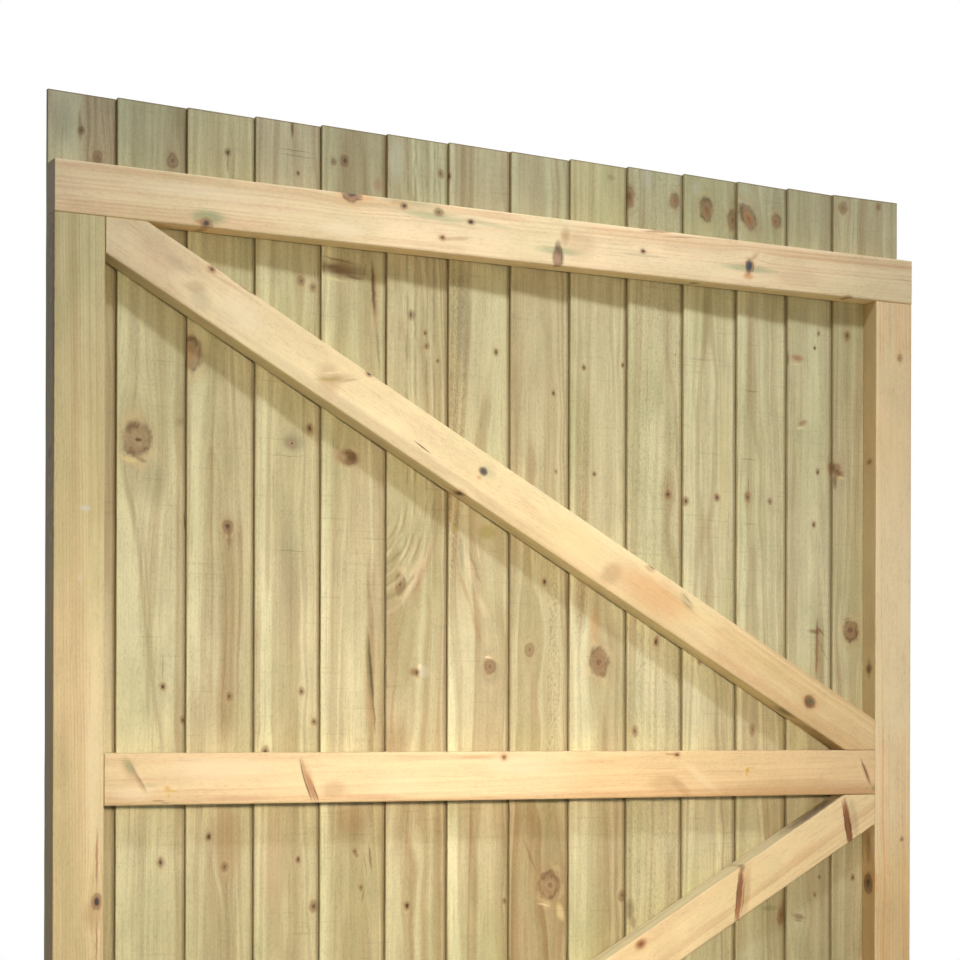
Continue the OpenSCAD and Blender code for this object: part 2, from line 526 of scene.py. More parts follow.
def addTimber(piece):
    # A planed timber: the eased section moved along `run`, each line of the section cut off
    # where it meets the box that the CAD node fills
    low, high = (np.array(corner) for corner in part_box(piece["node"]))
    slope = piece["slope"]
    run = np.array([cos(slope), 0, -sin(slope)])
    across = np.array([sin(slope), 0, cos(slope)])
    deep = np.array([0, 1, 0])
    centre = (low + high) / 2
    cut, wide, thick = timberCut, timberCut["width"] / 2, timberCut["thick"] / 2
    loop = easedLoop([[-wide, -thick], [wide, -thick], [wide, thick], [-wide, thick]],
                     cut["ease"], cut["division"])
    creases = ((0, 0), (0, 0))
    if piece.get("heel"):
        # The sloped ends have two cuts, which meet in a line at `crease` across the section
        crease = piece["heel"] * cos(slope) - wide
        creases = []
        for at in (crease, -crease):
            pair = []
            for side in (-thick, thick):
                face = np.flatnonzero(np.abs(loop[:, 1] - side) < 1e-6)
                nearest = face[np.argmin(np.abs(loop[face, 0] - at))]
                loop[nearest, 0] = at
                pair.append(int(nearest))
            creases.append(tuple(sorted(pair)))
    normal = outward(loop)
    lines = centre + loop[:, :1] * across + loop[:, 1:] * deep
    # Distance along `run` at which a line leaves the box through each pair of faces
    starts, ends = [], []
    for axis in (0, 2):
        if abs(run[axis]) < 1e-6:
            continue
        walls = np.array([[low[axis] + cut["gap"]], [high[axis] - cut["gap"]]])
        away = (walls - lines[:, axis]) / run[axis]
        starts.append(away.min(0))
        ends.append(away.max(0))
    start, end = np.max(starts, 0), np.min(ends, 0)
    stations = max(2, int(np.max(end - start) / cut["station"]))
    t = np.linspace(0, 1, stations)
    nick = cut["nick"] / np.max(end - start)
    t = np.concatenate([[0, nick], t[1:-1], [1 - nick, 1]])
    far = start + t[:, None] * (end - start)
    alongRate, roundRate = cut["ripple"]
    girth = np.arange(len(loop)) * roundRate
    sink = cut["wave"] * (0.6 + 0.4 * ripple(far * alongRate, girth, piece["seed"]))
    sink[[0, -1]] += cut["endWear"]
    offset = loop - sink[..., None] * normal
    rings = centre + far[..., None] * run + offset[..., :1] * across + offset[..., 1:] * deep
    name = piece["node"] + "_timber"
    made = shell(name, rings, creases)
    material = woodMaterial(name + "_wood", tuple(float(v) for v in centre), pi / 2 + slope,
                            {**planed, **piece})
    finishPiece(made, material, piece["node"])
    return made


level, upright = 0.0, -pi / 2
topRail = {
    "node": "top_rail", "slope": level, "seed": 1, "pith": (-60, 34),
    "tan": 0.0, "greens": 0.25, "lines": 0.3, "bands": 0.15, "rings": 0.3,
    # Painted shade on the left end face and along the lower edge of the front face, and painted light on
    # the underside
    "shades": [
        ("along", -698.6, -699.4, (0.31, 0.29, 0.25)), ("across", 30, 34, (0.88, 0.86, 0.82)),
        ("across", 34.5, 35, (1.42, 1.38, 1.36))],
    "knots": [
        (29, -490, 7, 0.9, 0.4), (-35, -275, 12, 0.8, 1.0, 1.3), (-26, -195, 5, 0.8, 0.3),
        (-23, -140, 5.5, 0.5, 0.1), (-14, -89, 5, 1.0, 0.1), (13, -134, 4.5, 0.8, 0.8),
        (-1, 199, 4, 1.0, 0.3), (3, 390, 11, 1.0, 0.1, 0.7), (38, 576, 7, 0.6, 0.5, 1.2, 0, -12, 14)],
    "stripes": [
        (-28, 5, 0.3, -700, 0), (-24, 6, 0.3, 100, 700), (24, 8, 0.24, -700, -380),
        (24, 4, 0.16, -380, -100), (12, 8, -0.2, -250, 350)],
    "stains": [
        (21, -486, 12, 30, "green", 0.65), (-12, -500, 12, 130, "cream", 0.4),
        (-17, -140, 14, 90, "green", 0.24, 3), (-32, -250, 6, 16, "orange", 0.4),
        (-30, -205, 6, 14, "orange", 0.3), (17, -290, 13, 44, "cream", 0.55),
        (12, -112, 4, 30, "tan", 0.45, -8), (-23, -140, 9, 11, "green", 0.35),
        (-14, 300, 14, 90, "tan", 0.14), (0, 460, 34, 60, "tan", 0.13),
        (-33, -190, 8, 60, "green", 0.35, 2), (-16, -150, 6, 50, "green", 0.3, 3),
        (-14, -60, 4, 50, "green", 0.25, 3), (-22, -140, 8, 12, "olive", 0.4),
        (-22, -235, 4, 60, "green", 0.15), (0, 91, 30, 34, "tan", 0.3), (14, 480, 16, 60, "tan", 0.2),
        (13, 54, 8, 45, "green", 0.45), (5, 200, 3, 45, "green", 0.25), (7, 388, 7, 60, "green", 0.5)],
    "marks": [
        (22, 54, 19, 11, "resin", 0.7, 0, 0.6, -17, 14), (8, 54, 14, 7, "resin", 0.55, 0, 0.4, -17, 14),
        (26, 52, 16, 5, "pink", 0.4, 0, 0.3, -17, 14), (20, 60, 16, 1.2, "crack", 0.6, 0, 0.3, -17, 14),
        (28, -500, 4, 9, "rust", 0.4), (-14, 66, 12, 10, "tan", 0.4, 30),
        (36, 300, 3, 14, "resin", 0.6, 0, 0.3, 0, 12), (-6, 66, 14, 9, "tan", 0.4, 20),
        (19, 387, 6, 13, "orange"), (-33, 225, 2.5, 34, "rust", 0.6, -4),
        (-28, 262, 1.5, 40, "rust", 0.4, -4), (3, 388, 14, 7, "slate", 0.85),
        (-12, 398, 6, 15, "tan", 0.55, -40, 0), (14, 386, 6, 7, "rust", 0.4)],
}
midRail = {
    "node": "mid_rail", "slope": level, "seed": 2, "pith": (-50, 70),
    "tan": 0.03, "rings": 0.14, "pale": srgb(255, 234, 186),
    "knots": [(-27, -33, 4.5, 0.7, 0.7), (-29, 261, 4, 0.9, 0.8)],
    "stripes": [(30, 7, 0.25), (-28, 4, 0.15, -300, 0), (20, 13, 0.12, 60, 700)],
    # The first is painted shade along the lower edge of the front face and on the underside
    "shades": [
        ("across", 28, 35.5, (0.86, 0.84, 0.80)), ("along", 0, 140, (0.99, 0.94, 0.86)),
        ("along", 300, 640, (0.95, 0.94, 0.96))],
    "stains": [
        (-27, -75, 4, 45, "tan", 0.35), (27, -440, 5, 60, "pink", 0.3), (28, -240, 5, 60, "pink", 0.35),
        (18, -590, 12, 34, "cream", 0.6), (-8, -495, 24, 50, "cream", 0.3),
        (-15, -460, 18, 100, "cream", 0.5), (-14, -7, 18, 80, "cream", 0.5),
        (14, -200, 16, 60, "cream", 0.35), (22, 480, 14, 220, "tan", 0.3), (16, -300, 16, 24, "tan", 0.35),
        (14, 240, 18, 40, "tan", 0.3)],
    "marks": [
        (-12, -596, 24, 11, "tan", 0.35, -29, 0.1), (-17, -595, 17, 8, "green", 0.5, -29, 0.1),
        (-9, -588, 20, 2.5, "grey", 0.4, -29), (8, -570, 4, 16, "green", 0.2),
        (2, -583, 22, 5, "pink", 0.45, -29, 0.1), (6, -578, 18, 2.5, "bark", 0.35, -29),
        (13, -543, 6, 6, "yellow", 0.55), (16, -535, 2.5, 9, "yellow", 0.4),
        (22, -541, 4, 3, "yellow", 0.4), (29, -555, 1.8, 12, "bark", 0.5), (32, -545, 1.3, 9, "bark", 0.4),
        (4, -337, 36, 9, "tan", 0.5, -17, 0.1), (14, -334, 24, 6, "rust", 0.55, -20, 0.4),
        (-10, -345, 22, 4, "rust", 0.4, -14), (14, -340, 24, 1.8, "resin", 0.8, -21),
        (22, -327, 16, 1.6, "resin", 0.7, -20), (-8, -347, 24, 1.6, "resin", 0.6, -14),
        (-30, 250, 2.5, 14, "rust", 0.4), (5, 304, 8, 46, "cream", 0.6, 36),
        (20, 268, 10, 28, "tan", 0.35, 36), (-5, 389, 5, 4, "yellow", 0.85),
        (0, 387, 6, 2.5, "yellow", 0.6), (-8, 396, 1.6, 8, "yellow", 0.5),
        (1, 612, 24, 5, "rust", 0.55, -25), (-2, 611, 29, 1.8, "resin", 0.7, -25),
        (-2, 604, 26, 5, "cream", 0.35, -25), (25, 627, 6, 5, "green", 0.5, -25)],
}
bottomRail = {
    "node": "bottom_rail", "slope": level, "seed": 3, "pith": (30, 60),
    "tan": 0.18,
    "knots": [(12, -420, 8, 0.8), (-20, -60, 5, 0.7), (18, 300, 9, 0.6, 0.8)],
    "stripes": [(-20, 8, 0.2), (10, 9, -0.15)],
}
leftStile = {
    "node": "left_stile", "slope": upright, "seed": 4, "pith": (-120, 12),
    "pale": srgb(251, 237, 186), "deep": srgb(204, 166, 108), "tan": 0.17, "greens": 0.4, "ring": 4.2,
    "rings": 0.3,
    "knots": [
        (25, -161, 7, 1.0, 0.4, 1.5), (35, 78, 5, 0.6, 0.5, 1.2, 0, 0, 6),
        (-35, 430, 7, 0.5, 0.5, 1.2, 0, 0, 8)],
    "stripes": [(-12, 9, 0.16), (24, 9, -0.3, -100, 330), (-32, 4, 0.1)],
    # The marks at -36.2 are painted shade on the outer side face, darker towards the top
    "marks": [
        (25, -105, 2.2, 48, "rust", 0.65), (25, -215, 1.8, 40, "rust", 0.6), (8, 358, 9, 5, "white", 0.9),
        (1, 266, 4, 6, "white", 0.45), (-36.2, 560, 2.6, 330, "resin", 0.45, 0, 0.6),
        (-36.2, 0, 2.6, 600, "bark", 0.25, 0, 0.6), (-36.2, 650, 2.6, 150, "resin", 0.4, 0, 0.6)],
    "stains": [
        (18, 20, 12, 150, "cream", 0.35), (20, 430, 18, 210, "moss", 0.14), (20, -178, 17, 26, "tan", 0.4),
        (-20, 50, 10, 70, "tan", 0.15)],
    # Painted shade: darker towards the top, and much darker on the outer side face
    "shades": [("along", 100, 720, (0.78, 0.83, 0.76)), ("across", -33.5, -34.8, (0.52, 0.47, 0.39))],
}
rightStile = {
    "node": "right_stile", "slope": upright, "seed": 5, "pith": (-130, 8),
    "pale": srgb(255, 238, 192), "deep": srgb(250, 194, 130), "tan": 0.0, "rings": 0.58, "lines": 0.35,
    "ring": 6.2,
    "knots": [
        (11, 658, 5, 0.3, 0.6), (18, -107, 3, 0.4), (-35, 492, 3.5, 0.5, 0.5, 1.2, 0, 0, 6),
        (-35, 164, 6, 0.6, 0.5, 1.2, 0, 0, 7), (-35, -178, 10, 0.9, 0.6, 1.5, 0, 0, 11)],
    "stripes": [(-20, 2.5, 0.2), (-8, 2.5, 0.25), (6, 2.5, 0.2), (22, 3, 0.2), (0, 70, -0.35, 60, 660)],
    # The cream mark at -36 lightens the painted shade of the inner side face lower down
    "marks": [
        (-36, -225, 2.6, 60, "cream", 0.3, 0, 0.5), (-36, -120, 3, 36, "bark", 0.45, 0, 0.3, 0, 9),
        (-36, 164, 3, 24, "resin", 0.5, 0, 0.2, 0, 8)],
    # Painted shade on the inner side face, and darker towards the bottom; the other two tint the wood
    # yellower towards its ends
    "shades": [
        ("across", -33.5, -34.8, (0.60, 0.56, 0.48)), ("along", 330, 520, (0.98, 0.92, 0.84)),
        ("along", -60, -180, (0.97, 0.92, 0.80)), ("along", -170, -230, (0.92, 0.90, 0.90))],
}
# The bay between the stiles and between two rails, less a heel at each end of its brace. The slope
# puts one long edge of the brace through a corner of that, and the other edge through the corner
# opposite.
braceHeel = 0.048
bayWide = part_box("right_stile")[0][0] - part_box("left_stile")[1][0]
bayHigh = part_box("top_rail")[0][2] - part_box("mid_rail")[1][2] - 2 * braceHeel
braceSlope = atan2(bayHigh, bayWide) + asin(timberCut["width"] / hypot(bayWide, bayHigh))
upperBrace = {
    "node": "upper_brace", "slope": braceSlope, "seed": 6,
    "heel": braceHeel, "pith": (20, 80), "tan": 0.0, "mottle": 0.1, "pale": srgb(255, 239, 188),
    "rings": 0.18,
    "knots": [
        (-30, -566, 5, 0.7, 0.9), (-34, -302, 5, 0.9), (-9, -83, 5, 0.6, 0.15), (2, 577, 9, 0.3, 0.9),
        (35, -96, 6, 1.0, 0.3, 1.2, 0, -6, 12)],
    "stripes": [(26, 7, 0.12), (0, 40, 0.25, 380, 800)],
    # The long grey stain at 26 is painted shade along the lower edge
    "stains": [
        (-4, -640, 30, 40, "pink", 0.2), (2, -505, 30, 44, "cream", 0.5), (-8, -612, 10, 26, "grey", 0.2),
        (14, -560, 17, 26, "grey", 0.25, 20), (4, -575, 10, 22, "tan", 0.3, -30),
        (16, -520, 12, 30, "tan", 0.15), (10, 172, 26, 20, "tan", 0.45, 30),
        (0, 250, 34, 95, "orange", 0.44), (0, 95, 32, 75, "straw", 0.45),
        (-12, -76, 15, 20, "green", 0.25, 0, 0.1), (26, -230, 12, 300, "grey", 0.2, 0, 0.5),
        (6, -350, 22, 30, "tan", 0.4, 40), (-10, 420, 26, 200, "yellow", 0.14),
        (-20, 306, 9, 20, "olive", 0.3, 20)],
    # The second is painted shade along the lower edge of the front face and on the underside
    "shades": [
        ("along", -540, -610, (0.91, 0.88, 0.90)), ("across", 29, 35.5, (0.88, 0.86, 0.82)),
        ("along", 420, 640, (0.95, 0.92, 0.86))],
    # The resin and straw marks at 36.5 are painted shade and painted light along the underside
    "marks": [
        (-35, -515, 3, 26, "rust", 0.8), (-35, -520, 1.6, 30, "resin"),
        (-2, -338, 32, 9, "tan", 0.5, 50, 0), (6, -350, 26, 4, "moss", 0.6, 56, 0),
        (-10, -322, 20, 3, "tan", 0.5, 48, 0), (-3, -352, 22, 2, "cream", 0.5, 54, 0),
        (12, -182, 1.3, 19, "crack", 0.9, 4), (2, -84, 4, 6, "orange", 0.6),
        (-9, -83, 8, 9.5, "resin", 0.45), (-10, -82, 6.5, 8, "slate", 0.8),
        (-35, 229, 3.5, 9, "resin", 0.95), (-30, 226, 5, 12, "tan", 0.5),
        (-24, 304, 1.6, 14, "grey", 0.5, 12), (-15, 310, 1.6, 16, "grey", 0.4, 8),
        (3, 576, 13, 15, "rust", 0.4), (3, 576, 9.5, 12, "resin", 0.75), (1, 578, 6.5, 8.5, "olive", 0.8),
        (1, 578, 4, 5, "slate", 0.4), (37, 548, 4, 26, "crack", 0.7, 0, 0.4, -6, 20),
        (36.5, 620, 3, 66, "resin", 0.5, 0, 0.5, 0, 24), (36.5, 470, 3, 90, "straw", 0.5, 0, 0.5, 0, 24)],
}
lowerBrace = {
    "node": "lower_brace", "slope": -braceSlope, "seed": 7,
    "heel": braceHeel, "pith": (-40, 70), "tan": 0.04, "pale": srgb(255, 235, 182), "rings": 0.16,
    # Painted cool light on the top face, and painted shade along the lower edge of the front face and on
    # the underside
    "shades": [("across", -33.6, -34.9, (0.86, 0.96, 1.1)), ("across", 29, 35.5, (0.9, 0.87, 0.82))],
    "knots": [(-24, 240, 6, 0.7, 0.9), (10, -60, 7, 0.8), (-12, -400, 6, 0.7)],
    "stripes": [(10, 9, 0.1), (28, 5, -0.1)],
    "stains": [
        (6, 669, 40, 10, "olive", 0.3, 18), (2, 440, 48, 10, "tan", 0.4, 35),
        (6, 560, 12, 50, "orange", 0.15), (0, 275, 34, 34, "tan", 0.12)],
    # The resin mark at -36 near along 610 is the mid rail's painted shadow on the top face
    "marks": [
        (4, 657, 46, 8, "tan", 0.5, 19), (8, 655, 44, 7, "rust", 0.85, 19, 0.6),
        (14, 653, 36, 5, "resin", 0.5, 19, 0.6), (4, 651, 44, 1.8, "resin", 0.85, 19),
        (14, 657, 24, 1.8, "crack", 0.5, 16), (2, 428, 54, 9, "tan", 0.45, 35),
        (2, 426, 50, 6, "rust", 0.8, 35, 0.6), (-6, 432, 30, 4, "resin", 0.4, 35, 0.5),
        (2, 421, 50, 1.7, "resin", 0.75, 35), (8, 431, 36, 1.4, "crack", 0.4, 35),
        (-32, 452, 8, 7, "resin", 0.5, 35, 0.3, -17, 14), (-36, 610, 3, 80, "resin", 0.75, 0, 0.4, 0, 24),
        (-24, 240, 9, 14, "rust", 0.5)],
}
for timber in (topRail, midRail, bottomRail, leftStile, rightStile, upperBrace, lowerBrace):
    addTimber(timber)
print("frame timbers built")


boardCut = {
    "width": 0.125,
    "ease": 0.7 * mm,        # worn arris of a sawn edge
    "wave": 0.35 * mm,       # unevenness of the sawn faces
    "ragged": 0.5 * mm,      # unevenness of the sawn edges
    "ripple": (40, 0.4),     # how fast those change, per metre along and per point round
    "shorter": 1.5 * mm,     # most that a board's ends fall short
    "endWear": 0.5 * mm,     # how far the arris of a cut end is worn in, over the length `nick`
    "nick": 0.5 * mm,
    "division": 7 * mm,
    "station": 20 * mm,
}

sawn = {
    "pale": srgb(238, 237, 193), "deep": srgb(168, 140, 98),
    "green": srgb(178, 184, 126), "greens": 0.3,
    "ring": 8.0, "band": 9.0,
    "drift": 19.0, "waver": 8.0, "jitter": 4.0,
    "taper": 0.013,
    "bands": 0.22, "rings": 0.17, "streaks": 0.62, "lines": 0.36,
    "mottle": 0.12, "fuzz": 0.13, "torn": 0.03,
    "specks": 0.05, "speckTint": tints["olive"], "speckZone": (0.64, 0.72),
    "knotFade": 0.7, "haloTint": srgb(176, 144, 100), "halo": 0.45, "collar": srgb(234, 216, 164),
    "knotLight": srgb(156, 126, 90), "knotDark": srgb(76, 54, 36), "knotRim": srgb(106, 80, 50),
    "knots": [], "swirls": [], "stripes": [], "whorls": [], "stains": [], "marks": [],
    # Painted shade: darker and yellower up towards the top rail, and darker below the mid rail
    "shades": [("along", 120, 640, (0.91, 0.89, 0.80)), ("along", -60, -220, (0.95, 0.96, 0.91))],
    "sawn": True, "bump": 0.35, "bumpDepth": 0.5 * mm, "rough": 0.8,
    # Painted shade above the top rail: the heights in metres where it starts and is full, and its tint
    "aboveRailZone": (0.77, 0.815), "shadeAndToneAboveRail": (0.84, 0.85, 0.86),    # heights in metres
    # Painted shade at the laps, on the thin edge and along the cut ends: its colour and strength
    "edgeShade": srgb(112, 92, 54), "edgeShadeStrength": 0.5,
    "middle": 0.088,    # how far out the middle of a leaning board is, for each mm across
}


def sectionCorners(node):
    # The four corners of a CAD board's section, going round
    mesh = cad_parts[node].data
    points = np.empty(len(mesh.vertices) * 3)
    mesh.vertices.foreach_get("co", points)
    flat = np.unique(np.round(points.reshape(-1, 3)[:, :2], 5), axis=0)
    middle = flat.mean(0)
    return flat[np.argsort(np.arctan2(*(flat - middle).T[::-1]))]


def addBoard(piece):
    # A sawn board: the CAD board's own section, eased and slightly ragged, from foot to top
    corners = sectionCorners(piece["node"])
    low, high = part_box(piece["node"])
    cut = boardCut
    loop = easedLoop(corners, cut["ease"], cut["division"], 3)
    normal = outward(loop)
    rng = np.random.default_rng(piece["seed"])
    foot = low[2] + rng.uniform(0, cut["shorter"])
    top = high[2] - rng.uniform(0, cut["shorter"])
    stations = int((top - foot) / cut["station"])
    z = np.linspace(foot, top, stations)
    z = np.concatenate([z[:1], z[:1] + cut["nick"], z[1:-1], z[-1:] - cut["nick"], z[-1:]])[:, None]
    alongRate, roundRate = cut["ripple"]
    girth = np.arange(len(loop)) * roundRate
    edge = np.abs(normal[:, 0]) > 0.7
    depth = np.where(edge, cut["ragged"], cut["wave"])
    sink = depth * (0.5 + 0.5 * ripple(z * alongRate, girth, piece["seed"]))
    sink[[0, -1]] += cut["endWear"]
    outline = loop - sink[..., None] * normal
    rings = np.concatenate([outline, np.broadcast_to(z[..., None], outline.shape[:2] + (1,))], -1)
    made = shell(piece["name"], rings)
    piece["top"] = top
    centre = (float(corners[:, 0].min()), float(corners[:, 1].min()), 0.0)
    material = woodMaterial(piece["name"] + "_wood", centre, 0.0, {**sawn, **piece})
    finishPiece(made, material, piece["node"])
    return made
